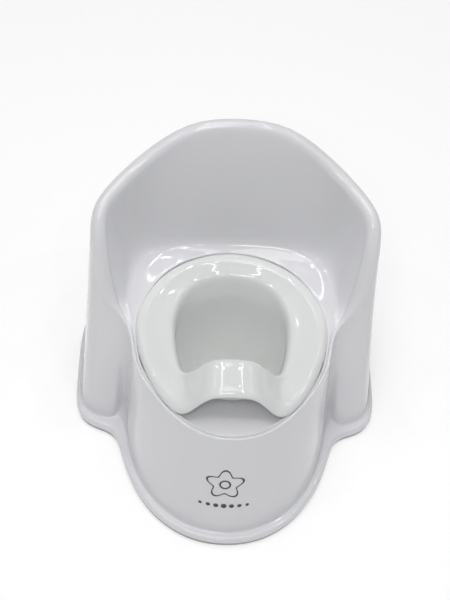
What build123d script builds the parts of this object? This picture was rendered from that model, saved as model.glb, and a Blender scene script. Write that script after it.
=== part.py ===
"""Potty training chair: a moulded chair shell, a lift-out potty and an anti-slip floor strip.

Frame: +X to the right seen from the front, +Y to the back, +Z up, in millimetres.
The origin is on the floor, under the middle of the chair's bounding box.
"""

import math
import os

from build123d import *

# --- overall sizes ---
OVERALL_W = 350.0  # across the base flange at the arms
OVERALL_D = 380.0  # from the front tip of the flange to its back
OVERALL_H = 315.0  # floor to the top of the backrest
WALL = 3.0  # shell wall

# --- base flange and floor strip ---
FLANGE_OUT = 7.0  # how far the flange stands out from the walls
FLANGE_TOP = 12.0  # height of the flange's top face
FLANGE_HOLLOW_R = 22.0  # rounding of the flange between the arms and the apron
STRIP_H = 5.0  # height of the anti-slip strip under the flange
STRIP_INSET = 0.8  # the strip stands this far inside the flange's edge
STRIP_W = 7.0  # width of the strip's foot
TONGUE_W = 2.4  # the strip's tongue, pressed up into the flange's groove
TONGUE_H = 2.6
TONGUE_GAP = 0.1  # clearance all round the tongue

# --- arms and backrest, outside ---
SIDE_LEAN = 0.035  # inward lean of the sides, mm per mm of height
BACK_LEAN = 0.03  # inward lean of the back
BACK_CORNER_R = 95.0
VALLEY_Y = -16.0  # bottom of the valley between arm and apron
VALLEY_LEAN = 0.135  # backward lean of the valley
COLUMN_IN_X = 131.0  # inner end of an arm's front face, at the floor
COLUMN_IN_Y = -37.0
COLUMN_SET = 9.0  # the outer end of that face stands this much further back
COLUMN_LEAN = 0.26  # backward lean of the face
COLUMN_BACK_Y = 78.0  # the column runs this far back, inside the chair
COLUMN_OUT_R = 20.0
COLUMN_IN_R = 6.0

# --- seat hollow between the arms ---
DECK_Z = 157.0  # deck around the potty
SEAT_HALF_W = 121.0  # half the width between the arms, at the deck
SEAT_SIDE_LEAN = 0.18  # outward lean of the arms' inner faces
SEAT_BACK_Y = 111.0  # foot of the backrest, at the deck
SEAT_BACK_LEAN = 0.245  # backward lean of the backrest
SEAT_CORNER_R = 62.0
SEAT_CORNER_OPEN = 0.12  # the corners widen with height
SEAT_FOOT_R = 10.0  # fillet where the walls meet the deck

# --- top edge, seen from the front ---
CREST_HALF_W = 52.0  # half width of the level top
SLOPE_X = 101.0  # foot of the steep stretch beside the crest
SLOPE_Z = 277.0
SHOULDER_X = 156.0  # the shoulder, over an arm
SHOULDER_Z = 259.0
SHOULDER_FALL = 2.0  # drop of the edge outside the shoulder
SHOULDER_BEND_R = 40.0
CREST_BEND_R = 60.0

# --- top edge of the arms, seen from the side ---
ARM_FOOT_Y = 2.0  # where the arm's edge meets the deck's front
ARM_TOP_Y = 61.0  # where it reaches the shoulder's height
RIM_R = 5.0  # rounding of the top edge
RIM_HOLLOW_SET = 1.7  # the hollow stays this much further below the rounded edge
SHARP_TURN = 25.0  # degrees between two faces that count as a corner to round

# --- apron and lip ---
APRON_HALF_W = 116.0  # the apron's outline at the floor
APRON_NOSE = 0.86  # nose radius as a share of the half width
APRON_CENTRE_Y = -42.0
APRON_BACK = 125.0  # hidden inside the chair
APRON_BACK_NOSE = 0.78
LIP_HALF_W = 111.5  # the lip's outline at its top
LIP_FRONT = 135.0
LIP_BACK = 114.0
LIP_CENTRE_Y = -5.0
LIP_NOSE = 0.85  # front and back nose radii as shares of the half width
LIP_BACK_NOSE = 0.96
LIP_Z = 153.0
LIP_W = 2.4  # thickness of the lip
LEDGE_Z = 141.0  # ledge that the potty stands on
BOWL_GAP = 6.0  # clearance between the ledge and the bowl that hangs through it
COLLAR_H = 14.0  # collar that hangs from the ledge round the bowl

# --- potty ---
POTTY_WALL = 2.6  # wall of the potty
POTTY_GAP = 0.9  # clearance all round, inside the lip
SEAT_GAP = 0.3  # clearance over the ledge
RIM_Z = 158.0  # top of the seat rim
RIM_EDGE_R = 6.0
DISH_INSET = 12.0  # from the rim's edge to where the seat starts to dip
DISH_DROP = 7.0  # how far it dips, at the opening
OPEN_HALF_W = 65.0  # the opening's outline
OPEN_BACK = 68.0
OPEN_FRONT = 82.0
OPEN_CENTRE_Y = 6.0
OPEN_NOSE = 0.77
OPEN_BACK_NOSE = 0.95
BOWL_FRONT_Y = -60.0  # flat front wall of the bowl, below the guard
BOWL_FLOOR_Z = 18.0
BOWL_TAPER = 0.8  # the bowl's floor as a share of its opening
BOWL_EDGE_R = 12.0

# --- splash guard ---
GUARD_Z = 190.0  # top of the guard, at its back
GUARD_HALF_W = 27.0  # half width of its crest
GUARD_FOOT_W = 56.0  # half width of its foot
GUARD_FALL = 0.2  # fall towards the front
GUARD_SLOPE_SHARE = 0.5  # its crest is drawn in by this share of the inset
GUARD_EDGE_R = 8.0
GUARD_REACH = 30.0  # the guard is drawn this far past the grip, then cut
GRIP_Y = -111.0  # front edge, over the finger gap

# --- cutting room ---
OVERCUT = 20.0  # cutting blocks run this far past the faces they cut
UNDERCUT = 1.0  # the hollow starts this far below the floor

BASE_HALF_W = OVERALL_W / 2 - FLANGE_OUT
BASE_BACK_Y = OVERALL_D / 2 - FLANGE_OUT
APRON_FRONT = OVERALL_D / 2 + APRON_CENTRE_Y - FLANGE_OUT
APRON = (APRON_HALF_W, APRON_FRONT, APRON_BACK, APRON_CENTRE_Y, APRON_NOSE, APRON_BACK_NOSE)
LIP = (LIP_HALF_W, LIP_FRONT, LIP_BACK, LIP_CENTRE_Y, LIP_NOSE, LIP_BACK_NOSE)
OPENING = (OPEN_HALF_W, OPEN_FRONT, OPEN_BACK, OPEN_CENTRE_Y, OPEN_NOSE, OPEN_BACK_NOSE)
FAR = OVERALL_W + OVERALL_D + OVERALL_H


def half_oval(half_w, length, nose_r, facing):
    """Three tangent arcs round one end of an oval: a side, the nose and the other side."""
    reach = length - nose_r
    side_r = (half_w**2 + reach**2 - nose_r**2) / (2 * (half_w - nose_r))
    turn = math.degrees(math.atan2(reach, side_r - half_w))
    right = CenterArc((half_w - side_r, 0), side_r, 0, turn)
    nose = CenterArc((0, reach), nose_r, turn, 180 - 2 * turn)
    left = CenterArc((side_r - half_w, 0), side_r, 180 - turn, turn)
    start = 0 if facing > 0 else 180
    return [Rot(0, 0, start) * arc.edge() for arc in (right, nose, left)]


def oval(size, growth=0.0, scale=1.0):
    """An egg outline of tangent arcs, from (half width, front, back, centre, front and back nose share)."""
    half_w, front, back, centre_y, front_nose, back_nose = size
    width = half_w * scale
    rear = half_oval(width + growth, back * scale + growth, width * back_nose + growth, 1)
    fore = half_oval(width + growth, front * scale + growth, width * front_nose + growth, -1)
    return Pos(0, centre_y, 0) * Wire(rear + fore)


def loft_between(low, low_z, high, high_z):
    """A solid with straight walls between two outlines drawn on the floor."""
    return Solid.make_loft([Pos(0, 0, low_z) * low, Pos(0, 0, high_z) * high], True)


def rounded(points, radii):
    """A closed outline through points, each corner rounded by its own radius (0 leaves it sharp)."""
    face = make_face(Polyline(*points, close=True))
    for (x, y), radius in zip(points, radii):
        if radius > 0:
            corner = face.vertices().sort_by_distance((x, y, 0))[0]
            face = fillet(corner, radius)
    return face.face().outer_wire()


def mirrored(points):
    """Right-hand points, front to back, completed with their mirror images."""
    return points + [(-x, y) for x, y in reversed(points)]


def core_outline(z, inset):
    """The D-shaped block behind the valley, at height z."""
    side = BASE_HALF_W - SIDE_LEAN * z - inset
    front = VALLEY_Y + VALLEY_LEAN * z + inset
    back = BASE_BACK_Y - BACK_LEAN * z - inset
    corner = BACK_CORNER_R - inset
    return rounded(mirrored([(side, front), (side, back)]), [0, corner, corner, 0])


def column_outline(z, inset):
    """One arm's front column, at height z."""
    side = BASE_HALF_W - SIDE_LEAN * z - inset
    front = COLUMN_IN_Y + COLUMN_LEAN * z + inset
    inner = COLUMN_IN_X + inset
    rear = [(side, COLUMN_BACK_Y), (inner, COLUMN_BACK_Y)]
    points = [(inner, front), (side, front + COLUMN_SET)] + rear
    return rounded(points, [COLUMN_IN_R - inset, COLUMN_OUT_R - inset, 0, 0])


def seat_outline(z, outset):
    """The hollow between the arms, at height z."""
    side = SEAT_HALF_W + SEAT_SIDE_LEAN * (z - DECK_Z) + outset
    back = SEAT_BACK_Y + SEAT_BACK_LEAN * (z - DECK_Z) + outset
    corner = SEAT_CORNER_R + SEAT_CORNER_OPEN * (z - DECK_Z) + outset
    return rounded(mirrored([(side, -OVERALL_D), (side, back)]), [0, corner, corner, 0])


def crest_profile(drop):
    """The top edge seen from the front, drawn in the X-Z plane and cut through the whole depth."""
    top = OVERALL_H - drop
    slope_z = SLOPE_Z - drop
    shoulder_z = SHOULDER_Z - drop
    points = [
        (OVERALL_W, -OVERCUT),
        (OVERALL_W, shoulder_z - SHOULDER_FALL),
        (SHOULDER_X, shoulder_z),
        (SLOPE_X, slope_z),
        (CREST_HALF_W, top),
    ]
    radii = [0, 0, SHOULDER_BEND_R, CREST_BEND_R, CREST_BEND_R]
    outline = rounded(mirrored(points), radii + radii[::-1])
    face = Plane.XZ * Face(outline)
    return extrude(face, FAR / 2, both=True)


def arm_profile(drop):
    """The chair's side view: the deck's front and the arm's edge, rising straight to the back."""
    lean = (ARM_TOP_Y - ARM_FOOT_Y) / (SHOULDER_Z - DECK_Z)
    deck = DECK_Z - drop
    high = OVERALL_H + OVERCUT
    points = [
        (-OVERALL_D, -OVERCUT),
        (OVERALL_D, -OVERCUT),
        (OVERALL_D, high),
        (ARM_FOOT_Y + drop + lean * (high - deck), high),
        (ARM_FOOT_Y + drop, deck),
        (-OVERALL_D, deck),
    ]
    face = Plane.YZ * make_face(Polyline(*points, close=True))
    return extrude(face, FAR / 2, both=True)


def sharp_edges(solid, above_z):
    """The edges above a height where two faces meet at a corner."""
    found = []
    for edge in solid.edges():
        middle = edge.position_at(0.5)
        if middle.Z < above_z:
            continue
        sides = [face for face in solid.faces() if any(edge.is_same(other) for other in face.edges())]
        if len(sides) == 2 and sides[0].normal_at(middle).get_angle(sides[1].normal_at(middle)) > SHARP_TURN:
            found.append(edge)
    return found


def chair_mass(inset):
    """The chair as one block with the seat hollow and the potty's recess cut in, drawn in by inset."""
    hollow_room = RIM_HOLLOW_SET if inset > 0 else 0
    low = -UNDERCUT if inset > 0 else 0
    high = OVERALL_H + OVERCUT
    core = loft_between(core_outline(low, inset), low, core_outline(high, inset), high)
    knee = DECK_Z + SEAT_FOOT_R
    column = loft_between(column_outline(low, inset), low, column_outline(knee, inset), knee)
    column = column & arm_profile(inset)
    upper = (core & arm_profile(inset)) + column + mirror(column, Plane.YZ)
    upper &= crest_profile(inset + hollow_room)
    seat_low = DECK_Z - inset
    hollow = loft_between(seat_outline(seat_low, inset), seat_low, seat_outline(high, inset), high)
    if inset == 0:
        foot = hollow.faces().sort_by(Axis.Z)[0].edges().filter_by(lambda edge: edge.center().Y > -OVERALL_D / 2)
        hollow = fillet(foot, SEAT_FOOT_R)
    upper -= hollow
    apron = loft_between(oval(APRON, -inset), low, oval(LIP, -inset), LIP_Z - inset)
    recess = loft_between(oval(LIP, inset - LIP_W), LEDGE_Z - inset, oval(LIP, inset - LIP_W), OVERALL_H)
    mass = (upper + apron - recess).solid()
    if inset == 0:
        mass = fillet(sharp_edges(mass, DECK_Z + SEAT_FOOT_R), RIM_R)
    return mass


def flange_face(growth):
    """The chair's footprint with softened hollows, grown by growth."""
    core = extrude(Face(core_outline(0, 0)), WALL)
    column = extrude(Face(column_outline(0, 0)), WALL)
    apron = extrude(Face(oval(APRON)), WALL)
    block = core + column + mirror(column, Plane.YZ) + apron
    footprint = -block.faces().sort_by(Axis.Z)[0]
    closed = offset(footprint, FLANGE_OUT + FLANGE_HOLLOW_R, kind=Kind.ARC)
    return offset(closed, growth - FLANGE_OUT - FLANGE_HOLLOW_R, kind=Kind.ARC)


def ring(outer, width, low_z, high_z):
    """A band under the flange, its outer edge grown by outer from the footprint."""
    band = flange_face(outer) - flange_face(outer - width)
    return Pos(0, 0, low_z) * extrude(band, high_z - low_z)


def chair_shell():
    """The one-piece chair: arms, backrest, apron, lip, ledge, collar and base flange."""
    mass = chair_mass(0)
    cavity = chair_mass(WALL)
    body = mass - cavity
    flange = Pos(0, 0, STRIP_H) * extrude(flange_face(FLANGE_OUT), FLANGE_TOP - STRIP_H) - cavity
    body = body + flange
    body -= Pos(0, 0, STRIP_H - FAR / 2) * Box(FAR, FAR, FAR)
    hole = oval(OPENING, POTTY_WALL + BOWL_GAP)
    collar_ring = Face(oval(OPENING, POTTY_WALL + BOWL_GAP + WALL)) - Face(hole)
    body += Pos(0, 0, LEDGE_Z - COLLAR_H) * extrude(collar_ring, COLLAR_H)
    return body - Pos(0, 0, STRIP_H) * extrude(Face(hole), LEDGE_Z + OVERCUT)


def floor_strip():
    """The soft strip the chair stands on, with a tongue that grips the flange's groove."""
    outer = FLANGE_OUT - STRIP_INSET
    strip = ring(outer, STRIP_W, 0, STRIP_H)
    tongue_outer = outer - (STRIP_W - TONGUE_W) / 2
    return strip + ring(tongue_outer, TONGUE_W, STRIP_H, STRIP_H + TONGUE_H)


def strip_groove():
    """Room for the strip's tongue in the underside of the flange."""
    tongue_outer = FLANGE_OUT - STRIP_INSET - (STRIP_W - TONGUE_W) / 2 + TONGUE_GAP
    return ring(tongue_outer, TONGUE_W + TONGUE_GAP * 2, STRIP_H, STRIP_H + TONGUE_H + TONGUE_GAP)


def bowl_mass(growth, top_z):
    """The bowl as a solid plug with straight tapering walls, grown by growth."""
    plug = loft_between(oval(OPENING, growth, BOWL_TAPER), BOWL_FLOOR_Z - growth, oval(OPENING, growth), top_z)
    plug &= Pos(0, BOWL_FRONT_Y - growth + FAR / 2, 0) * Box(FAR, FAR, FAR)
    foot = plug.faces().sort_by(Axis.Z)[0].edges()
    return fillet(foot, BOWL_EDGE_R + growth)


def rim_mass(inset, low_z):
    """The seat rim without its opening: an egg-shaped slab whose top dips towards the middle."""
    edge = -POTTY_GAP - LIP_W
    slab = loft_between(oval(LIP, edge - inset), low_z, oval(LIP, edge - inset), RIM_Z - inset)
    slab = fillet(slab.faces().sort_by(Axis.Z)[-1].edges(), RIM_EDGE_R - inset)
    dish_edge = oval(LIP, edge - DISH_INSET)
    return slab - loft_between(oval(OPENING), RIM_Z - DISH_DROP - inset, dish_edge, RIM_Z - inset)


def guard_mass(inset, foot_z):
    """The splash guard as a flat-topped hill over the bowl's front, falling towards the grip."""

    def section(y, drop):
        points = [(GUARD_FOOT_W - inset, foot_z), (GUARD_HALF_W - inset * GUARD_SLOPE_SHARE, GUARD_Z - drop - inset)]
        edge = GUARD_EDGE_R - inset
        outline = rounded(mirrored(points), [0, edge, edge, 0])
        return Pos(0, y, 0) * Rot(90, 0, 0) * outline

    back_y = BOWL_FRONT_Y - inset
    front_y = GRIP_Y - GUARD_REACH
    return Solid.make_loft([section(back_y, 0), section(front_y, (back_y - front_y) * GUARD_FALL)], True)


def inner_potty():
    """The lift-out potty: seat rim with skirt, bowl and splash guard in one moulding."""
    foot_z = LEDGE_Z + SEAT_GAP
    opening_z = RIM_Z - DISH_DROP
    bowl = bowl_mass(POTTY_WALL, opening_z)
    under_rim = rim_mass(POTTY_WALL, foot_z - WALL) - bowl
    inside = Pos(0, 0, foot_z) * extrude(Face(oval(LIP, -POTTY_GAP - LIP_W)), GUARD_Z)
    hill = guard_mass(0, opening_z - WALL * 2) & inside
    body = rim_mass(0, foot_z) - under_rim + bowl + hill
    body -= bowl_mass(0, opening_z)
    body -= guard_mass(POTTY_WALL, foot_z - WALL)
    return body - Pos(0, GRIP_Y - FAR / 2, 0) * Box(FAR, FAR, FAR)


def main():
    """Write each piece to its own file."""
    os.makedirs("parts", exist_ok=True)
    pieces = {
        "chair_shell": chair_shell() - strip_groove(),
        "inner_potty": inner_potty(),
        "floor_strip": floor_strip(),
    }
    for name, block in pieces.items():
        piece = block.solid()
        export_step(piece, f"parts/{name}.step")
        print(name, round(piece.volume), piece.is_valid, len(piece.solids()), piece.bounding_box())


main()
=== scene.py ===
# %% [markdown]
# # A moulded potty chair
#
# The chair is two glossy white plastic mouldings and a soft strip. The big one is the chair shell:
# backrest, arms, deck, apron and base flange in one flowing skin. The small one is the potty that lifts out
# of it. A grey anti-slip strip runs round the bottom. This lesson rebuilds their skins over the fixed
# engineering frame. Everything is in metres in Blender; the outlines below are written in millimetres, as a
# mould maker would.

# %% Load the frame
import math

import bmesh
import bpy
from mathutils import Matrix, Vector
from mathutils.bvhtree import BVHTree


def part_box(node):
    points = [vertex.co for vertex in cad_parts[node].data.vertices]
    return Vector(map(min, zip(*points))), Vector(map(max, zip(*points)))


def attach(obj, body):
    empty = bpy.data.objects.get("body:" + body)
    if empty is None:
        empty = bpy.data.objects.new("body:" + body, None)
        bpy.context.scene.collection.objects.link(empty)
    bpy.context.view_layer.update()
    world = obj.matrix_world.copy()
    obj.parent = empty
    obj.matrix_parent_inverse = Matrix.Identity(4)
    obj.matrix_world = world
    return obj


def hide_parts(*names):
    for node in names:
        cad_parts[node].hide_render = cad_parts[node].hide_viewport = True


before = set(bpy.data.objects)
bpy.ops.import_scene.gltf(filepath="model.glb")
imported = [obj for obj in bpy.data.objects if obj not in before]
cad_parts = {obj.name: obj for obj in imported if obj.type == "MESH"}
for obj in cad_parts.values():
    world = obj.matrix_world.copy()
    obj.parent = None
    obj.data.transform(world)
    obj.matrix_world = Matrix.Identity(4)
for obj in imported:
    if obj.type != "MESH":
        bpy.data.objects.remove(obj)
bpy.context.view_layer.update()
MM = 0.001

# %% [markdown]
# ## Sizes taken from the frame
#
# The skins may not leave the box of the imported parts, so the widest, longest and highest points come from
# it.

# %% Overall sizes
shell_low, shell_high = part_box("chair_shell")
strip_low, strip_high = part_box("floor_strip")
potty_low, potty_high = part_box("inner_potty")
SPLINE_ROOM = 0.4  # a spline swings a little past its widest stations
HALF_W = shell_high.x / MM - SPLINE_ROOM
FRONT = -shell_low.y / MM
BACK = shell_high.y / MM
TOP = shell_high.z / MM
STRIP_TOP = shell_low.z / MM
print("half width", HALF_W, "front", FRONT, "back", BACK, "top", TOP)
print("strip", strip_low.z / MM, "to", strip_high.z / MM, "potty", potty_low.z / MM, "to", potty_high.z / MM)

# %% [markdown]
# ## Drawing a moulding with character lines
#
# A freeform moulding has no flat faces to start from. A car or a chair shell is drawn with character lines
# that run round it: the edge of the flange, the foot of the wall, the crest of the rim, the deck. One
# closed ring of edges follows each line, and extruding ring after ring makes a clean cage of four-sided
# faces. A subdivision surface then rounds it. Half of each line is given by a few stations from the front
# middle to the back middle; a spline runs through them and the other half is its mirror image.


# %% Splines and rings
def spline_point(before, start, end, after, t):
    """A Catmull-Rom point between start and end."""
    slope_in = (end - before) * 0.5
    slope_out = (after - start) * 0.5
    hermite_start = start * (2 * t**3 - 3 * t**2 + 1) + slope_in * (t**3 - 2 * t**2 + t)
    hermite_end = end * (3 * t**2 - 2 * t**3) + slope_out * (t**3 - t**2)
    return hermite_start + hermite_end


def flip(point):
    """The mirror image across the chair's middle plane."""
    return Vector((-point.x, point.y, point.z))


def half_ring(stations, steps):
    """Points from the front middle to the back middle, with steps[i] spans between stations i and i + 1."""
    line = [Vector(p) for p in stations]
    line = [flip(line[1])] + line + [flip(line[-2])]
    points = []
    for i, count in enumerate(steps):
        for j in range(count):
            points.append(spline_point(line[i], line[i + 1], line[i + 2], line[i + 3], j / count))
    return points + [line[-2]]


def closed_ring(half):
    """The half line and its mirror image, as one loop."""
    return half + [flip(p) for p in reversed(half[1:-1])]


def mixed(line_a, line_b, share):
    """A line part of the way from one line to another."""
    return [a.lerp(b, share) for a, b in zip(line_a, line_b)]


# %% [markdown]
# The first loop of edges is made as a circle, and its points are put on the ring. Every further ring is the
# last loop extruded once, with the new points put in their places.


# %% Loops of edges
def start_ring(bm, places):
    """A new loop of edges at the given places."""
    circle = bmesh.ops.create_circle(bm, cap_ends=False, radius=1.0, segments=len(places))["verts"]
    for vert, place in zip(circle, places):
        vert.co = place * MM
    return circle


def next_ring(bm, ring, places):
    """Extrude a loop of edges once, and put the new loop at the given places."""
    pairs = list(zip(ring, ring[1:] + ring[:1]))
    edges = [bm.edges.get(pair) for pair in pairs]
    made = bmesh.ops.extrude_edge_only(bm, edges=edges)["geom"]
    fresh = {item for item in made if isinstance(item, bmesh.types.BMVert)}
    grown = [next(e.other_vert(v) for e in v.link_edges if e.other_vert(v) in fresh) for v in ring]
    for vert, place in zip(grown, places):
        vert.co = place * MM
    return grown


# %% [markdown]
# A skin is a stack of such loops. Where the moulding has a fold, the edges that run along it are creased, so
# that the rounding leaves them sharp. The rounded skin is the outside of the moulding, and it gets its wall
# inwards from there.

# %% From rings to a moulding
ROUNDING = 2  # each level of rounding cuts every face of the cage in four


def skin(name, halves, close_last=False, folds=()):
    """A smooth-shaded mesh object from a stack of half lines.

    Each fold is a crease down the skin: (point round the ring, first ring, last ring, sharpness).
    """
    bm = bmesh.new()
    crease = bm.edges.layers.float.new("crease_edge")
    ring = start_ring(bm, closed_ring(halves[0]))
    for level, half in enumerate(halves[1:]):
        below = ring
        ring = next_ring(bm, ring, closed_ring(half))
        for point, first, last, sharpness in folds:
            if first <= level < last:
                for i in (point, -point):
                    bm.edges.get((below[i], ring[i]))[crease] = sharpness
    if close_last:
        cap = bmesh.ops.contextual_create(bm, geom=ring)["faces"]
        bmesh.ops.poke(bm, faces=cap)
    bmesh.ops.recalc_face_normals(bm, faces=bm.faces)
    mesh = bpy.data.meshes.new(name)
    bm.to_mesh(mesh)
    bm.free()
    mesh.shade_smooth()
    piece = bpy.data.objects.new(name, mesh)
    bpy.context.scene.collection.objects.link(piece)
    print(name, len(mesh.vertices), "cage points")
    return piece


def round_and_thicken(piece, wall):
    """Subdivide the cage, then give it a wall, inwards, in millimetres. A wall of 0 leaves the bare skin."""
    rounding = piece.modifiers.new("rounding", "SUBSURF")
    rounding.levels = ROUNDING
    rounding.render_levels = ROUNDING
    if wall:
        thickness = piece.modifiers.new("wall", "SOLIDIFY")
        thickness.thickness = wall * MM
        thickness.offset = -1.0
        thickness.use_even_offset = False
        thickness.use_quality_normals = True


# %% [markdown]
# ## The chair shell
#
# Twenty-two stations lead round each line: seven along the apron, four round the narrow recess beside it,
# two across the arm's broad front column, three along the side and six round the back. The edge line is the
# outside of the flange and the foot line stands on top of it. The crest line climbs from the lip, over the
# saddle beside the potty, up the arm and over the backrest. The deck line is where the seat meets the
# walls, and the seam line is the edge that the potty drops into.

# %% Stations of the shell's character lines
STEPS = [1] * 10 + [2] * 4 + [1] * 7  # the column turns fastest, so each of its four spans is cut in two
CREST_ROOM = 1.6  # the rim is drawn this much over its height, which rounding the cage takes off again

edge_line = half_ring([
    (0, -FRONT, 0), (31, -186, 0), (57, -174, 0), (79, -156, 0), (97, -133, 0), (111, -105, 0), (120, -75, 0),
    (124.5, -61, 0), (130, -53, 0), (138, -48, 0), (146, -45, 0), (160, -38, 0), (170.5, -25, 0),
    (HALF_W, -4, 0), (HALF_W, 26, 0), (HALF_W, 52, 0), (173, 92, 0), (161, 136, 0), (138, 166, 0),
    (105, 183, 0), (55, 189, 0), (0, BACK, 0),
], STEPS)
foot_line = half_ring([
    (0, -177, 15), (28, -173, 15), (53, -162, 15), (74.5, -144, 15), (91.5, -121, 15), (105, -91, 15),
    (113, -54, 15), (113.5, -37, 17), (116, -22, 24), (122, -21, 27), (127.5, -32, 19), (150, -28, 15),
    (164, -17, 15), (168.5, 0, 15), (168.5, 28, 15), (168.5, 52, 15), (166, 88, 15), (155, 128, 15),
    (133, 158, 15), (101, 176, 15), (54, 182, 15), (0, 183, 15),
], STEPS)
crest_line = half_ring([
    (0, -140, 150), (23, -137, 150), (43, -127.5, 150), (62, -112, 150), (82, -88, 150.5), (95, -68, 151),
    (104, -49, 151.5), (107, -33, 152.5), (110.5, -10, 153.5), (114, -1, 155), (119, 6, 158.5),
    (128, 16, 168), (137.5, 27, 187), (143.5, 40, 210), (147.5, 53, 233), (149.5, 66, 251),
    (148, 81, 261.5), (139, 99, 264), (125, 116, 269.5), (104, 137, 278.5), (56, 157.5, 313),
    (0, 161, TOP + CREST_ROOM),
], STEPS)
deck_line = half_ring([
    (0, -137, 150), (22, -134, 150), (41.5, -124.5, 150), (60, -109.5, 150), (79, -86, 150), (92, -66, 150.5),
    (101.5, -47.5, 151), (104, -33, 152), (107.5, -11, 153), (110, 0, 154), (111.5, 8, 155), (114, 18, 156.5),
    (116, 29, 157.5), (117, 40, 158), (117, 51, 158), (116, 62, 158), (113, 76, 158), (106, 89.5, 158),
    (91, 102.5, 158), (67, 111.5, 158), (36, 116, 158), (0, 117.5, 158),
], STEPS)
seam_line = half_ring([
    (0, -136.5, 149), (21.5, -133.5, 149), (41, -124, 149), (59.5, -109, 149), (78.5, -85.5, 149.5),
    (91.5, -65.5, 150), (100.5, -46, 151), (103, -33, 151.5), (105.7, -11, 152), (106, -1, 152.5),
    (105.8, 8, 153), (104.5, 17, 153.5), (102, 26, 153.5), (98.5, 36, 153.5), (94, 46, 153.5),
    (88, 57, 153.5), (80, 68.5, 153.5), (70.5, 79, 153.5), (58, 89, 153.5), (42, 97, 153.5),
    (22, 103.5, 153.5), (0, 105.5, 153.5),
], STEPS)
print(len(edge_line), "points per half line,", 2 * (len(edge_line) - 1), "round the chair")

# %% [markdown]
# ## Rings between the lines
#
# Between two character lines the wall is nearly straight, so its rings are mixes of the two. The rim and
# the edges need rings close together, because a subdivision surface is only as tight as its cage. A ring
# can be drawn in from its line by a few millimetres, along the line's own sideways direction.


# %% Drawing a ring in or out
def sideways(half):
    """Unit vectors pointing away from the chair's middle, square to a half line seen from above."""
    loop = closed_ring(half)
    around = len(loop)
    out = []
    for i in range(len(half)):
        along = loop[(i + 1) % around] - loop[i - 1]
        out.append(Vector((-along.y, along.x, 0)).normalized() * -1)
    return out


def shifted(half, out=0.0, up=0.0, level=None):
    """A line moved outwards and upwards, or put at one level. out and up may vary point by point."""
    count = len(half)
    outs = out if isinstance(out, list) else [out] * count
    ups = up if isinstance(up, list) else [up] * count
    moved = [p + side * o + Vector((0, 0, u)) for p, side, o, u in zip(half, sideways(half), outs, ups)]
    if level is not None:
        moved = [Vector((p.x, p.y, level)) for p in moved]
    return moved


def smooth_step(low, high, value):
    """0 below low, 1 above high, with a soft rise between them."""
    t = min(max((value - low) / (high - low), 0), 1)
    return t * t * (3 - 2 * t)


# %% [markdown]
# The rim is thin at the lip, where the potty sits inside it, and swells to a broad roll on the arms and the
# backrest. Its half width therefore follows the height of the crest.

# %% The rim's roll
LIP_ROLL = 1.9
BACK_ROLL = 9.0
ROLL_FROM, ROLL_TO = 153, 186  # the heights between which the rim swells
SHOULDER_OUT = 0.86  # the roll's shoulder, as shares of its half width
SHOULDER_DROP = 0.45
SKIRT_DROP = 1.5
roll = [LIP_ROLL + (BACK_ROLL - LIP_ROLL) * smooth_step(ROLL_FROM, ROLL_TO, p.z) for p in crest_line]
shoulder_out = [SHOULDER_OUT * r for r in roll]
shoulder_down = [-SHOULDER_DROP * r for r in roll]
skirt_down = [-SKIRT_DROP * r for r in roll]
rim_outer_low = shifted(crest_line, out=roll, up=skirt_down)
rim_outer = shifted(crest_line, out=shoulder_out, up=shoulder_down)
rim_inner = shifted(crest_line, out=[-o for o in shoulder_out], up=shoulder_down)
rim_inner_low = shifted(crest_line, out=[-r for r in roll], up=skirt_down)
print("rim half width from", min(roll), "to", max(roll))

# %% [markdown]
# The arm's column bulges forward a little on its way up, so the wall has a belly line of its own at mid
# height. Inside, the wall and the backrest meet in tight corners behind the seat, which the spline alone
# leaves too round, so the rings there are pushed out round a vertical line through each corner.

# %% The belly and the back corners
BELLY_SHARE = 0.46  # how far up the wall the belly lies
BULGE = 9
COLUMN_X = (122, 145)  # the bulge grows across the column
COLUMN_Y = (60, 10)  # and towards the front
BACK_CORNER = Vector((109, 104, 0))
CORNER_REACH = 42  # how far from the corner the push fades out
CORNER_PUSH = 9
CORNER_PUSH_TOP = 5  # less under the rim, so that the rim keeps its own sweep

belly = mixed(foot_line, rim_outer_low, BELLY_SHARE)
bulge = [BULGE * smooth_step(*COLUMN_X, p.x) * smooth_step(*COLUMN_Y, p.y) for p in belly]
belly = [p - Vector((0, b, 0)) for p, b in zip(belly, bulge)]


def pushed_corner(ring, push):
    """A ring with the inside back corners pushed out, so that they turn tighter."""
    away = [(Vector((p.x, p.y, 0)) - BACK_CORNER).length for p in ring]
    return shifted(ring, out=[push * max(0, 1 - a / CORNER_REACH) for a in away])


print("belly from", min(p.z for p in belly), "to", max(p.z for p in belly))

# %% [markdown]
# Under the potty lies a ledge with a hole for the bowl, a little bigger than the bowl all round. The hole
# is the seam line drawn in towards the bowl's middle, more at the front, where the ledge is deepest.

# %% The ledge and the bowl's hole
LEDGE = 141.0
COLLAR_FOOT = 128.0  # the hole's edge turns down to here
BOWL_MIDDLE = Vector((0, 6, 0))
HOLE_W_SHARE = 0.685
HOLE_FRONT_SHARE = 0.64
HOLE_BACK_SHARE = 0.78

hole_line = []
for p in seam_line:
    behind = p.y - BOWL_MIDDLE.y
    length_share = HOLE_FRONT_SHARE if behind < 0 else HOLE_BACK_SHARE
    hole_line.append(Vector((p.x * HOLE_W_SHARE, behind * length_share + BOWL_MIDDLE.y, LEDGE)))
print("hole", 2 * max(p.x for p in hole_line), "wide")

# %% [markdown]
# The flange stands on the floor strip. Its edge rises to a rounded bead, a shallow groove lies behind the
# bead, and a soft fillet lifts the wall out of the groove. Two creases run up the wall beside the apron,
# where the recess turns into the apron's side and into the arm's column.

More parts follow.
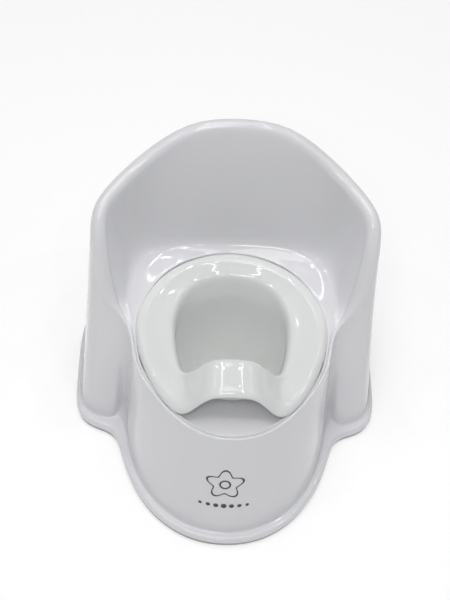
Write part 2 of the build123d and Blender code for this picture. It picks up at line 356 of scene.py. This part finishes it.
# %% Rings of the chair shell
BEAD_SIDE = 8.6  # levels of the flange's bead and of the groove behind it
BEAD_SHOULDER = 12.4
BEAD_TOP = 14.6
GROOVE = 10.6
GROOVE_SHARE = 0.72  # where the groove lies between the bead and the wall's foot
FLANGE_FOOT = STRIP_TOP + 0.1
DECK_RISE = 2.0  # the deck's crown behind the potty
DECK_LEVELS = (153, 158)  # the crown grows where the deck climbs from the lip to its full height
SHELL_WALL = 2.6

groove_line = mixed(shifted(edge_line, out=-3.0), foot_line, GROOVE_SHARE)
deck_rise = [DECK_RISE * smooth_step(*DECK_LEVELS, p.z) for p in deck_line]
ledge_edge = shifted(seam_line, out=-3.0, level=LEDGE)

shell_rings = [
    # the flange, from its underside over the bead to the groove
    shifted(edge_line, out=-10, level=FLANGE_FOOT),
    shifted(edge_line, out=-1.6, level=FLANGE_FOOT),
    shifted(edge_line, out=-0.2, level=STRIP_TOP + 1.4),
    shifted(edge_line, level=BEAD_SIDE),
    shifted(edge_line, out=-0.8, level=BEAD_SHOULDER),
    shifted(edge_line, out=-4.2, level=BEAD_TOP),
    [Vector((p.x, p.y, GROOVE)) for p in groove_line],
    # the outside of the wall
    foot_line,
    mixed(foot_line, belly, 0.1),
    mixed(foot_line, belly, 0.5),
    belly,
    mixed(belly, rim_outer_low, 0.5),
    mixed(belly, rim_outer_low, 0.86),
    rim_outer_low,
    # over the rim
    rim_outer,
    crest_line,
    rim_inner,
    rim_inner_low,
    # the inside of the wall, down to the deck
    pushed_corner(mixed(rim_inner_low, deck_line, 0.16), CORNER_PUSH_TOP),
    pushed_corner(mixed(rim_inner_low, deck_line, 0.5), CORNER_PUSH),
    pushed_corner(mixed(rim_inner_low, deck_line, 0.84), CORNER_PUSH),
    shifted(deck_line, up=deck_rise),
    mixed(deck_line, seam_line, 0.4),
    # the edge that the potty drops into, the ledge and its hole
    shifted(seam_line, out=0.3),
    shifted(seam_line, out=-0.5, up=-0.4),
    shifted(seam_line, out=-0.7, up=-3.5),
    shifted(seam_line, out=-0.6, level=LEDGE + 1.0),
    ledge_edge,
    mixed(ledge_edge, hole_line, 0.5),
    shifted(hole_line, out=1.0),
    shifted(hole_line, up=-1.0),
    shifted(hole_line, level=COLLAR_FOOT),
]
FOOT_RING = shell_rings.index(foot_line)
RIM_RING = shell_rings.index(rim_outer_low)
APRON_FOLD = 6  # the point round each ring where the apron's side ends
COLUMN_FOLD = 10  # and the point where the arm's column begins
folds = [(APRON_FOLD, FOOT_RING, RIM_RING, 0.95), (COLUMN_FOLD, FOOT_RING + 1, RIM_RING - 1, 0.5)]
chair_skin = skin("chair_shell_skin", shell_rings, folds=folds)
round_and_thicken(chair_skin, SHELL_WALL)
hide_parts("chair_shell")
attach(chair_skin, "chair")

# %% [markdown]
# ## The lift-out potty
#
# The potty is drawn the same way, with nineteen stations. Its hem stands on the ledge inside the lip,
# except at the front, where it arches up to leave a finger gap. Over that arch the rim swells into the
# splash guard, so the opening's edge climbs from the seat to the guard's crest. In front the wall drops
# straight into the bowl, and at the back it slopes in like a funnel.

# %% Stations of the potty's character lines
POTTY_STEPS = [1] * 18
hem_line = half_ring([
    (0, -109, 182), (12, -109, 181.5), (23, -109, 179.5), (32, -110, 171.5), (40, -111, 161),
    (49, -113, 152), (60, -109, 147), (71, -97.5, 144), (83, -79.5, 142), (93.5, -57.5, 142),
    (101.5, -34, 142), (106, -8, 142), (105.2, 14, 142), (99.5, 33, 142), (91, 50, 142), (77.5, 69.5, 142),
    (58.5, 86, 142), (31, 99, 142), (0, 104.5, 142),
], POTTY_STEPS)
crown_line = half_ring([
    (0, -94, 190.4), (12, -94, 189.8), (23.5, -95, 187), (33.5, -98, 178), (42.5, -99, 168), (52, -98, 161),
    (61, -92.5, 158.8), (69, -83, 158), (78.5, -67, 158), (86, -48, 158), (92.5, -29, 158), (96.5, -6, 158),
    (96, 12, 158), (91.5, 29, 158), (83, 45, 158), (71, 61.5, 158), (53.5, 77, 158), (28.5, 89, 158),
    (0, 93.5, 158),
], POTTY_STEPS)
opening_line = half_ring([
    (0, -65, 192.6), (12, -65, 192), (23.5, -65, 189.4), (33.5, -64.5, 178.5), (41.5, -64, 166.5),
    (48, -62, 157.5), (53.5, -57, 153.4), (57, -50, 151.8), (59.5, -41, 151), (62, -29, 150.6),
    (64, -13, 150.5), (65, 4, 150.5), (64, 18, 150.5), (61, 31, 150.5), (56, 43.5, 150.5), (47.5, 56, 150.5),
    (35, 66.5, 150.5), (18, 73.2, 150.5), (0, 75, 150.5),
], POTTY_STEPS)
bowl_line = half_ring([
    (0, -59, 122), (13, -59, 122), (25, -58, 122), (35, -56, 122), (43, -52.5, 122), (49, -47.5, 122),
    (53, -42, 122), (56, -35, 122), (58.5, -26.5, 122), (60.5, -17, 122), (61.5, -7, 122), (61, 4, 122),
    (59.5, 16, 122), (56, 27, 122), (50.5, 37.5, 122), (42.5, 46.5, 122), (31, 55, 122), (16.5, 61, 122),
    (0, 63.5, 122),
], POTTY_STEPS)
print(len(hem_line), "points per half line of the potty")

# %% [markdown]
# The rim turns over from the hem in a rounded shoulder, dips a little between its crown and the opening,
# and then the wall falls into the bowl. The bowl's own line is shrunk ring by ring down to a rounded floor.

# %% Rings of the potty
SHOULDER_LEVEL = 152.5
HEM_THICKNESS = 3.2  # at the arch, where the shoulder follows the hem upwards
SHOULDER_SHARE = 0.3  # where the shoulder's top lies between the shoulder and the crown
SHOULDER_CROWN = 3.0
RIM_DIP = 1.2
DIP_ENDS = (158, 175)  # the dip fades out as the rim climbs the guard
# Each ring of the bowl below its line: its share of the line, and its level.
BOWL_STEPS = [(0.87, 72), (0.76, 36), (0.68, 23), (0.54, 18.8), (0.3, 18.2)]
POTTY_WALL = 2.4


def bowl_ring(share, level):
    """The bowl's line shrunk about the middle of the bowl, at a level."""
    return [Vector((p.x * share, BOWL_MIDDLE.y + (p.y - BOWL_MIDDLE.y) * share, level)) for p in bowl_line]


hem_out = shifted(hem_line, out=1.0)
shoulder = [Vector((h.x, h.y, max(h.z + HEM_THICKNESS, SHOULDER_LEVEL))) for h in hem_out]
shoulder_top = shifted(mixed(shoulder, crown_line, SHOULDER_SHARE), up=SHOULDER_CROWN)
dip = [-RIM_DIP * (1 - smooth_step(*DIP_ENDS, p.z)) for p in crown_line]
throat = shifted(opening_line, out=-3.0, up=-7.5)
potty_rings = [
    # the outside, from the hem up
    hem_line,
    mixed(hem_line, shoulder, 0.6),
    shoulder,
    shoulder_top,
    # over the rim
    crown_line,
    shifted(mixed(crown_line, opening_line, 0.35), up=dip),
    shifted(mixed(crown_line, opening_line, 0.7), up=dip),
    shifted(opening_line, out=5.0, up=0.5),
    shifted(opening_line, out=0.6, up=-1.4),
    # down into the bowl
    throat,
    mixed(throat, bowl_line, 0.55),
    bowl_line,
] + [bowl_ring(share, level) for share, level in BOWL_STEPS]
potty_skin = skin("inner_potty_skin", potty_rings, close_last=True)
round_and_thicken(potty_skin, POTTY_WALL)
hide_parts("inner_potty")
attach(potty_skin, "potty")

# %% [markdown]
# ## The printed motif
#
# A small flower over a row of dots is pad printed on the apron. Each line of it is a thin band of ink: its
# points are drawn flat, as (across, up), and a ray that finds the skin presses them onto the apron.

# %% Pressing a flat drawing onto the apron
INK_STANDOFF = 0.15
depsgraph = bpy.context.evaluated_depsgraph_get()
apron_tree = BVHTree.FromObject(chair_skin, depsgraph)


def on_apron(across, up):
    """The point of the apron's skin met by a ray from the front, lifted off by the ink's standoff."""
    start = Vector((across, -FRONT * 2, up)) * MM
    hit, normal, _, _ = apron_tree.ray_cast(start, Vector((0, 1, 0)))
    outward = normal if normal.y < 0 else -normal
    return hit / MM + outward * INK_STANDOFF


def petal_loop(centre, radius, wave, petals, count):
    """A closed flat line round centre, its radius waving once for each petal."""
    loop = []
    for i in range(count):
        turn = 2 * math.pi * i / count
        reach = radius + wave * math.cos(petals * turn)
        loop.append((centre[0] + reach * math.sin(turn), centre[1] + reach * math.cos(turn)))
    return loop


def ink(bm, inner, outer):
    """A band of ink between two flat loops; with no inner loop, a filled spot."""
    ring = start_ring(bm, [on_apron(*p) for p in outer])
    if inner:
        next_ring(bm, ring, [on_apron(*p) for p in inner])
    else:
        spot = bmesh.ops.contextual_create(bm, geom=ring)["faces"]
        bmesh.ops.poke(bm, faces=spot)


# %% [markdown]
# The flower is an outline with a ring at its heart. Below it, seven dots shrink from the middle one out.

# %% The motif
FLOWER = (-3.0, 84.0)  # its middle, across and up
LINE_W = 2.0
FLOWER_R = 18
PETALS = 5
PETAL_WAVE = 3.9
INNER_WAVE = 3.6  # the line's inner edge waves less, so that its width stays even
HEART_R = 6.5
DOTS_UP = 52.0
DOT_PITCH = 8.6
DOT_R = 3.2
DOT_SHRINK = 0.4
DOTS_EACH_SIDE = 3
bm = bmesh.new()
ink(bm, petal_loop(FLOWER, FLOWER_R - LINE_W, INNER_WAVE, PETALS, 100),
    petal_loop(FLOWER, FLOWER_R, PETAL_WAVE, PETALS, 100))
ink(bm, petal_loop(FLOWER, HEART_R - LINE_W, 0, 1, 36), petal_loop(FLOWER, HEART_R, 0, 1, 36))
for step in range(-DOTS_EACH_SIDE, DOTS_EACH_SIDE + 1):
    middle = (FLOWER[0] + DOT_PITCH * step, DOTS_UP)
    ink(bm, None, petal_loop(middle, DOT_R - DOT_SHRINK * abs(step), 0, 1, 20))
motif_mesh = bpy.data.meshes.new("printed_motif")
bm.to_mesh(motif_mesh)
bm.free()
motif = bpy.data.objects.new("printed_motif", motif_mesh)
bpy.context.scene.collection.objects.link(motif)
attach(motif, "chair")
print("motif", len(motif_mesh.polygons), "faces")

# %% [markdown]
# ## The anti-slip strip
#
# A soft strip follows the flange's edge and is the only thing that touches the floor. It is a plain band in
# section, with its lower corners rounded, and it is drawn from the flange's own edge line. It stands a
# little behind the flange's edge, so a fine shadow line parts the two.

# %% Rings of the floor strip
STRIP_SETBACK = 1.4
STRIP_INNER = 7.6  # depth of its inner side behind the flange's edge
strip_section = [
    (STRIP_SETBACK + 1.4, STRIP_TOP), (STRIP_SETBACK, STRIP_TOP), (STRIP_SETBACK, STRIP_TOP - 0.6),
    (STRIP_SETBACK, 1.0), (STRIP_SETBACK + 0.3, 0.2), (STRIP_SETBACK + 1.1, 0.0),
    (STRIP_INNER - 0.6, 0.0), (STRIP_INNER, 0.4), (STRIP_INNER, STRIP_TOP),
]
strip_rings = [shifted(edge_line, out=-depth, level=level) for depth, level in strip_section]
strip_skin = skin("floor_strip_skin", strip_rings)
round_and_thicken(strip_skin, 0)
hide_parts("floor_strip")
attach(strip_skin, "chair")

# %% [markdown]
# ## Shader maths
#
# A material is easier to read as arithmetic than as a wall of nodes. This class wraps a socket: adding or
# multiplying two of them, or one and a number, adds the Math node that does it.


# %% A socket that does arithmetic
OBJECT_PLACE = 3  # the texture coordinate node's output that holds still on the piece


class Wire:
    """A shader value that can be used in Python expressions."""

    def __init__(self, tree, socket):
        self.tree = tree
        self.socket = socket

    def math(self, operation, *others):
        """Add the Math node that works out one operation."""
        sockets = {i: other for i, other in enumerate((self, *others))}
        return node(self.tree, "ShaderNodeMath", {"operation": operation}, sockets)

    def __add__(self, other):
        return self.math("ADD", other)

    __radd__ = __add__

    def __mul__(self, other):
        return self.math("MULTIPLY", other)

    __rmul__ = __mul__


# %% [markdown]
# Every node comes from one function, which takes its settings and its inputs. A number goes straight into
# the socket, and a Wire is joined to it.


# %% Nodes and materials
def node(tree, kind, settings=None, sockets=None, output=0):
    """Add a node, set it up, join its inputs, and return one of its outputs."""
    made = tree.nodes.new(kind)
    for key, value in (settings or {}).items():
        setattr(made, key, value)
    for key, value in (sockets or {}).items():
        if isinstance(value, Wire):
            tree.links.new(value.socket, made.inputs[key])
        else:
            made.inputs[key].default_value = value
    return Wire(tree, made.outputs[output])


def new_material(name):
    """A material with only a Principled shader, its tree, and its shader node."""
    material = bpy.data.materials.new(name)
    material.use_nodes = True
    tree = material.node_tree
    return material, tree, tree.nodes["Principled BSDF"]


# %% [markdown]
# ## Glossy moulded plastic
#
# Polished polypropylene is smooth but never perfect. Its colour clouds very slightly, the gloss varies
# where hands and cloths have rubbed it, the skin has a faint ripple from the mould, and light passes a
# little way in.


# %% The moulded plastics
GLOSS = 0.015  # roughness where nothing has touched the skin
RUB = 0.06  # roughness that hands and cloths add
GRAIN = 0.02
RIPPLE_HEIGHT = 0.00022  # relief in metres
GRAIN_HEIGHT = 0.000006
SCATTER = 0.004  # how far light passes into the plastic, in metres
SHELL_WHITE = (0.80, 0.80, 0.82, 1)
SHELL_CLOUD = (0.772, 0.772, 0.794, 1)
POTTY_WHITE = (0.80, 0.807, 0.798, 1)
POTTY_CLOUD = (0.775, 0.783, 0.775, 1)


def moulded_plastic(name, light, dark):
    """Glossy plastic that clouds between two close colours."""
    material, tree, shader = new_material(name)
    place = node(tree, "ShaderNodeTexCoord", output=OBJECT_PLACE)
    cloud = node(tree, "ShaderNodeTexNoise", {}, {"Vector": place, "Scale": 9.0, "Detail": 3.0})
    rub_sockets = {"Vector": place, "Scale": 46.0, "Detail": 5.0, "Roughness": 0.6}
    rub = node(tree, "ShaderNodeTexNoise", {}, rub_sockets)
    grain = node(tree, "ShaderNodeTexNoise", {}, {"Vector": place, "Scale": 900.0, "Detail": 2.0})
    ripple = node(tree, "ShaderNodeTexNoise", {}, {"Vector": place, "Scale": 24.0, "Detail": 1.0})
    colour = node(tree, "ShaderNodeMix", {"data_type": "RGBA"}, {0: cloud, 6: dark, 7: light}, output=2)
    roughness = GLOSS + rub * RUB + grain * GRAIN
    height = ripple * RIPPLE_HEIGHT + grain * GRAIN_HEIGHT
    bump = node(tree, "ShaderNodeBump", {}, {"Strength": 0.5, "Distance": 1.0, "Height": height})
    tree.links.new(colour.socket, shader.inputs["Base Color"])
    tree.links.new(roughness.socket, shader.inputs["Roughness"])
    tree.links.new(bump.socket, shader.inputs["Normal"])
    shader.inputs["IOR"].default_value = 1.49
    shader.inputs["Subsurface Weight"].default_value = 0.12
    shader.inputs["Subsurface Radius"].default_value = (SCATTER, SCATTER, SCATTER)
    shader.inputs["Subsurface Scale"].default_value = 1.0
    print("material", name)
    return material


shell_plastic = moulded_plastic("shell_plastic", SHELL_WHITE, SHELL_CLOUD)
potty_plastic = moulded_plastic("potty_plastic", POTTY_WHITE, POTTY_CLOUD)
chair_skin.data.materials.append(shell_plastic)
potty_skin.data.materials.append(potty_plastic)

# %% [markdown]
# ## The soft strip's rubber
#
# Thermoplastic rubber is matt and a mid grey under the white chair, mixed darker in specks towards the floor.


# %% The strip's rubber
RUBBER_GREY = (0.38, 0.38, 0.39, 1)
BOTTOM_GREY = (0.30, 0.30, 0.30, 1)
BOTTOM_COVER = 0.9  # at the floor
BOTTOM_HEIGHT = 0.005  # where it fades out, in metres


def strip_rubber():
    """Matt rubber, darker in specks towards the floor."""
    material, tree, shader = new_material("strip_rubber")
    place = node(tree, "ShaderNodeTexCoord", output=OBJECT_PLACE)
    height = node(tree, "ShaderNodeSeparateXYZ", {}, {"Vector": place}, output=2)
    speck = node(tree, "ShaderNodeTexNoise", {}, {"Vector": place, "Scale": 320.0, "Detail": 4.0})
    bottom_darkening = (height * (-BOTTOM_COVER / BOTTOM_HEIGHT) + BOTTOM_COVER) * speck
    mix = {0: bottom_darkening, 6: RUBBER_GREY, 7: BOTTOM_GREY}
    colour = node(tree, "ShaderNodeMix", {"data_type": "RGBA", "clamp_factor": True}, mix, output=2)
    roughness = speck * 0.2 + 0.55
    bump = node(tree, "ShaderNodeBump", {}, {"Strength": 0.4, "Distance": 1.0, "Height": speck * 0.0001})
    tree.links.new(colour.socket, shader.inputs["Base Color"])
    tree.links.new(roughness.socket, shader.inputs["Roughness"])
    tree.links.new(bump.socket, shader.inputs["Normal"])
    print("material strip_rubber")
    return material


strip_skin.data.materials.append(strip_rubber())

# %% [markdown]
# ## The printing ink
#
# Pad-printing ink is a satin dark grey film, slightly uneven in cover.

# %% The ink
FULL_INK = (0.035, 0.036, 0.042, 1)
THIN_INK = (0.075, 0.076, 0.084, 1)
print_ink, ink_tree, ink_shader = new_material("print_ink")
ink_place = node(ink_tree, "ShaderNodeTexCoord", output=OBJECT_PLACE)
cover = node(ink_tree, "ShaderNodeTexNoise", {}, {"Vector": ink_place, "Scale": 700.0, "Detail": 3.0})
ink_mix = {0: cover, 6: FULL_INK, 7: THIN_INK}
ink_colour = node(ink_tree, "ShaderNodeMix", {"data_type": "RGBA"}, ink_mix, output=2)
ink_tree.links.new(ink_colour.socket, ink_shader.inputs["Base Color"])
ink_tree.links.new((cover * 0.2 + 0.3).socket, ink_shader.inputs["Roughness"])
motif.data.materials.append(print_ink)

# %% [markdown]
# ## Floor and world
#
# The stage is one plain pale floor. It glows a little by itself, so it stays white from under the chair to
# the horizon, and the world adds only a weak cool fill.

# %% Floor and world
FLOOR_HALF = 30.0
FLOOR_GREY = (0.6, 0.6, 0.6, 1)
FLOOR_GLOW = 0.48
WORLD_FILL = 0.16
floor_mesh = bpy.data.meshes.new("floor")
bm = bmesh.new()
bmesh.ops.create_grid(bm, x_segments=1, y_segments=1, size=FLOOR_HALF)
bm.to_mesh(floor_mesh)
bm.free()
floor = bpy.data.objects.new("floor", floor_mesh)
bpy.context.scene.collection.objects.link(floor)
floor_paint, floor_tree, floor_shader = new_material("floor_paint")
floor_shader.inputs["Base Color"].default_value = FLOOR_GREY
floor_shader.inputs["Emission Color"].default_value = (1, 1, 1, 1)
floor_shader.inputs["Emission Strength"].default_value = FLOOR_GLOW
floor_shader.inputs["Roughness"].default_value = 0.7
floor_mesh.materials.append(floor_paint)

world = bpy.data.worlds.new("studio")
world.use_nodes = True
background = world.node_tree.nodes["Background"]
background.inputs["Color"].default_value = (0.95, 0.96, 1.0, 1)
background.inputs["Strength"].default_value = WORLD_FILL
bpy.context.scene.world = world
bpy.context.scene.view_settings.view_transform = "Standard"
print("floor", 2 * FLOOR_HALF, "m across")

# %% [markdown]
# ## Lights
#
# A shop ceiling gives the plastic its look: two rows of tubes and three of small lamps are mirrored as
# streaks and sparkles on the shoulders, the guard and the corners behind the seat. A broad soft panel
# overhead and a smaller one in front fill between them.

# %% Lights
CEILING = 2.6
TUBE_CORNER, TUBE_PITCH = (-1.8, -0.5), (1.2, 1.6)
TUBE_W, TUBE_LENGTH, TUBE_POWER = 0.06, 1.2, 3.2
LAMP_CORNER, LAMP_PITCH = (-1.35, -1.3), (0.9, 1.1)
LAMP_W, LAMP_POWER = 0.07, 1.6
PANEL_W, PANEL_POWER = 1.0, 10
FRONT_PANEL_W, FRONT_PANEL_POWER = 0.7, 10.5


def area_light(name, place, aim, size, power, length=None):
    """A square or oblong lamp at place, facing aim."""
    lamp = bpy.data.lights.new(name, "AREA")
    lamp.shape = "RECTANGLE"
    lamp.size = size
    lamp.size_y = length or size
    lamp.energy = power
    holder = bpy.data.objects.new(name, lamp)
    facing = (Vector(aim) - Vector(place)).to_track_quat("-Z", "Y")
    holder.matrix_world = Matrix.Translation(place) @ facing.to_matrix().to_4x4()
    bpy.context.scene.collection.objects.link(holder)


def ceiling_grid(corner, pitch, rows, columns):
    """Each row, column and place of a grid of lamps under the ceiling."""
    for row in range(rows):
        for column in range(columns):
            yield row, column, (corner[0] + pitch[0] * column, corner[1] + pitch[1] * row, CEILING)


area_light("panel", (-0.2, 0.2, CEILING + 0.1), (0, 0, 0.1), PANEL_W, PANEL_POWER)
area_light("front_panel", (-0.25, -1.35, 2.25), (0, 0.05, 0.15), FRONT_PANEL_W, FRONT_PANEL_POWER)
for row, column, place in ceiling_grid(TUBE_CORNER, TUBE_PITCH, rows=2, columns=4):
    below = (place[0], place[1], 0)
    area_light(f"tube_{row}_{column}", place, below, TUBE_W, TUBE_POWER, length=TUBE_LENGTH)
for row, column, place in ceiling_grid(LAMP_CORNER, LAMP_PITCH, rows=3, columns=4):
    halfway_in = (place[0] * 0.5, place[1] * 0.5, 0)
    area_light(f"lamp_{row}_{column}", place, halfway_in, LAMP_W, LAMP_POWER)
print(len(bpy.data.lights), "lights")

# %% [markdown]
# ## Camera
#
# The camera looks steeply down from the front, turned a little to the side and leaning a little.

# %% Camera
PITCH = math.radians(54)
YAW = math.radians(3.872)
ROLL = math.radians(5.108)
FOCAL_LENGTH = 90
CAMERA_PLACE = Vector((-0.07415, -0.9432, 1.5069))
forward = Vector((math.sin(YAW) * math.cos(PITCH), math.cos(YAW) * math.cos(PITCH), -math.sin(PITCH)))
level_right = Vector((math.cos(YAW), -math.sin(YAW), 0))
level_up = level_right.cross(forward)
right = level_right * math.cos(ROLL) + level_up * math.sin(ROLL)
up = level_up * math.cos(ROLL) - level_right * math.sin(ROLL)
lens = bpy.data.cameras.new("camera")
lens.sensor_width = 36
lens.lens = FOCAL_LENGTH
camera = bpy.data.objects.new("camera", lens)
turn = Matrix((right, up, -forward)).transposed().to_4x4()
camera.matrix_world = Matrix.Translation(CAMERA_PLACE) @ turn
bpy.context.scene.collection.objects.link(camera)
bpy.context.scene.camera = camera
print("camera at", tuple(camera.location))
